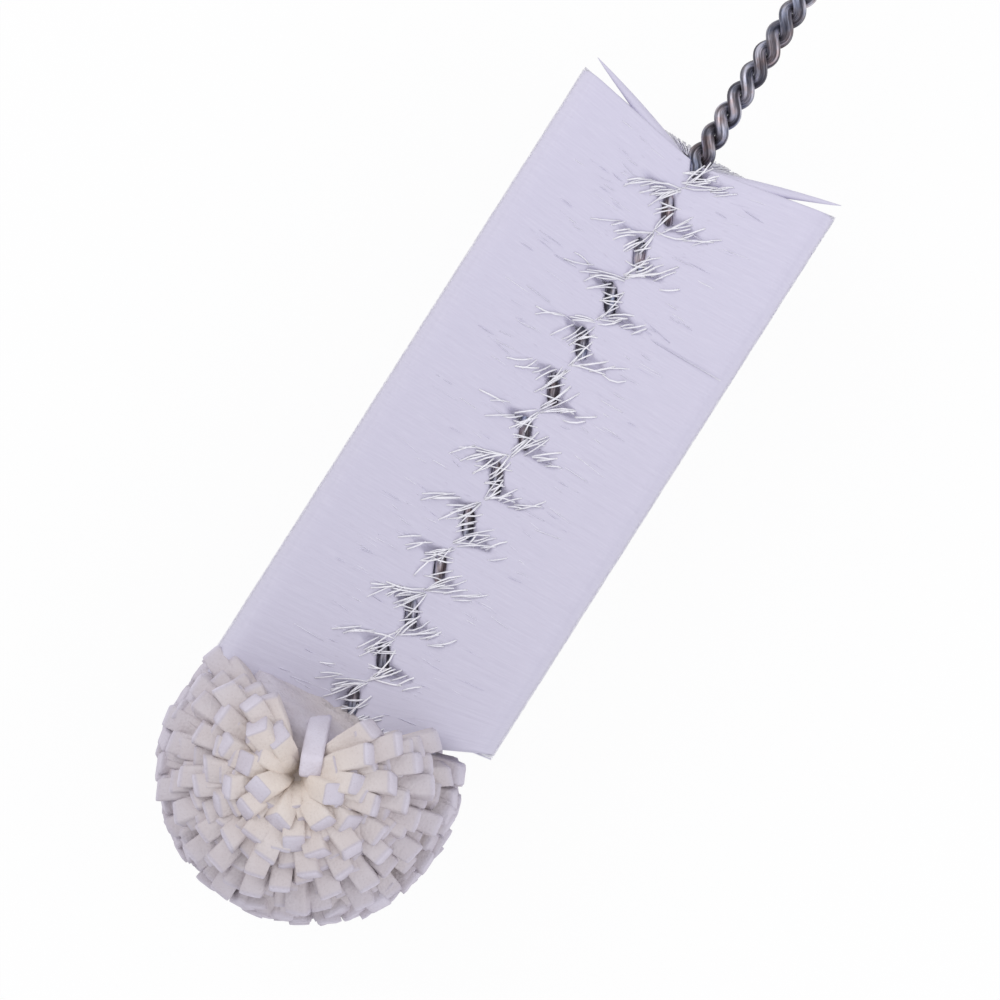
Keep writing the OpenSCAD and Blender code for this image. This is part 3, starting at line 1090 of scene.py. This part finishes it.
def foam_core():
    """The strips packed together around the end of the wire, as one closed body with a hollow on top."""
    polar = np.linspace(CORE_POLE, math.pi - CORE_POLE, CORE_RINGS)[:, None]
    a = circle(CORE_SIDES)[None]
    ways = (-np.cos(polar), np.sin(polar) * np.cos(a), np.sin(polar) * np.sin(a))
    towards = np.stack(np.broadcast_arrays(*ways), -1)
    open_way = unit(np.array([OPEN_CENTRE[0] - BALL_R, OPEN_CENTRE[1], BALL_R]))
    off = np.degrees(np.arccos(np.clip(towards @ open_way, -1, 1)))
    r = CORE_OPEN_R + (CORE_R - CORE_OPEN_R) * smooth((off - CORE_OPEN_FROM) / CORE_OPEN_OVER)
    r = np.minimum(r, CORE_BACK / np.maximum(towards @ CORE_BACK_WAY, CORE_BACK_LEAST))
    r = r + rng.normal(0, CORE_ROUGH, r.shape)
    points = (BALL_CENTRE + r[:, :, None] * towards).reshape(-1, 3)
    lighter = CORE_BACK_LIGHT * smooth((towards[:, :, 0] - CORE_LIGHT_FROM) / CORE_LIGHT_OVER)
    # Deeper points of the core take the creamier, lighter tones, partly painted light
    shade = r / BALL_R / CUT_SHADE + lighter
    return points, shade.ravel(), tube_triangles(*r.shape)


def build_foam():
    outline = rounded_square()
    made = [strip_points(*end, outline) for end in all_strip_ends()]
    one = tube_triangles(len(STRIP_STEPS), len(outline))
    first = np.arange(len(made)) * len(STRIP_STEPS) * len(outline)
    triangles = (first[:, None, None] + one[None]).reshape(-1, 3)
    core_points, core_shade, core_triangles = foam_core()
    strips = np.concatenate([points for points, _ in made])
    shade = np.concatenate([tones for _, tones in made] + [core_shade])
    triangles = np.concatenate([triangles, core_triangles + len(strips)])
    points = world(np.concatenate([strips, core_points]))
    piece = mesh_piece("foam_strip_ends", points, triangles, "foam_strips", shade=shade)
    piece.data.materials.append(foam_material())


# Camera, floor and light

LENS = 200.0
SENSOR = 36.0
SLANT = math.radians(AXIS_SLANT)
IMAGE_RIGHT = np.array([math.cos(SLANT), -math.sin(SLANT), 0])
IMAGE_UP = np.array([math.sin(SLANT), math.cos(SLANT), 0])
VIEW_CENTRE = world([CENTRE_S, CENTRE_Y, 0])
FLOOR_HALF = 3.0
FLOOR_COLOUR = (0.87, 0.87, 0.88, 1)
FLOOR_ROUGHNESS = 0.9
FLOOR_SPECULAR = 0.1
FLOOR_GLOW = 0.94
STUDIO_COLOUR = (0.97, 0.965, 1, 1)
STUDIO_STRENGTH = 0.8
LAMP_SIZE = 1.0


def build_camera():
    data = bpy.data.cameras.new("camera")
    data.lens, data.sensor_width = LENS, SENSOR
    camera = bpy.data.objects.new("camera", data)
    away = PHOTO_W * MM * LENS / SENSOR
    camera.location = VIEW_CENTRE + np.array([0, 0, away])
    camera.rotation_euler = (0, 0, -SLANT)
    bpy.context.scene.collection.objects.link(camera)
    bpy.context.scene.camera = camera


def area_light(name, right, up, height, power, colour):
    """A soft square lamp, placed in metres from the view's centre and aimed at it."""
    data = bpy.data.lights.new(name, "AREA")
    data.energy, data.size, data.color = power, LAMP_SIZE, colour
    lamp = bpy.data.objects.new(name, data)
    place = VIEW_CENTRE + right * IMAGE_RIGHT + up * IMAGE_UP + np.array([0, 0, height])
    lamp.location = place
    aim = unit(VIEW_CENTRE - place)
    lamp.rotation_euler = (math.acos(-aim[2]), 0, math.atan2(aim[1], aim[0]) - math.pi / 2)
    bpy.context.scene.collection.objects.link(lamp)


def calculated(nodes, links, operation, a, b):
    """The result of a sum on two values, of which the second may be a plain number."""
    node = nodes.new("ShaderNodeMath")
    node.operation = operation
    links.new(a, node.inputs[0])
    if hasattr(b, "is_output"):
        links.new(b, node.inputs[1])
    else:
        node.inputs[1].default_value = b
    return node.outputs[0]


def floor_material():
    """White to the camera and in reflections, with some of the plain floor, so that it keeps the shadow."""
    material, nodes, links, shader = new_material("white_floor")
    shader.inputs["Base Color"].default_value = FLOOR_COLOUR
    shader.inputs["Roughness"].default_value = FLOOR_ROUGHNESS
    shader.inputs["Specular IOR Level"].default_value = FLOOR_SPECULAR
    rays = nodes.new("ShaderNodeLightPath").outputs
    seen = calculated(nodes, links, "MAXIMUM", rays["Is Camera Ray"], rays["Is Glossy Ray"])
    seen = calculated(nodes, links, "MAXIMUM", seen, rays["Is Transmission Ray"])
    both = nodes.new("ShaderNodeMixShader")
    links.new(calculated(nodes, links, "MULTIPLY", seen, FLOOR_GLOW), both.inputs["Fac"])
    links.new(shader.outputs[0], both.inputs[1])
    links.new(nodes.new("ShaderNodeEmission").outputs[0], both.inputs[2])
    links.new(both.outputs[0], nodes["Material Output"].inputs["Surface"])
    return material


def build_floor():
    """A wide white floor."""
    h = FLOOR_HALF
    mesh = bpy.data.meshes.new("floor")
    mesh.from_pydata([(-h, -h, 0), (h, -h, 0), (h, h, 0), (-h, h, 0)], [], [(0, 1, 2, 3)])
    mesh.materials.append(floor_material())
    floor = bpy.data.objects.new("floor", mesh)
    bpy.context.scene.collection.objects.link(floor)


def build_light():
    scene = bpy.context.scene
    scene.view_settings.view_transform = "Standard"
    studio = bpy.data.worlds.new("studio")
    studio.use_nodes = True
    back = studio.node_tree.nodes["Background"]
    back.inputs["Color"].default_value = STUDIO_COLOUR
    back.inputs["Strength"].default_value = STUDIO_STRENGTH
    scene.world = studio
    area_light("key", right=-0.8, up=0.7, height=0.85, power=5.0, colour=(1, 0.99, 0.985))
    area_light("fill", right=0.85, up=-0.5, height=0.8, power=4.0, colour=(0.97, 0.97, 1))


build_wire()
build_packed_bristles()
build_tufts()
build_bristles()
build_foam()
build_camera()
build_floor()
build_light()
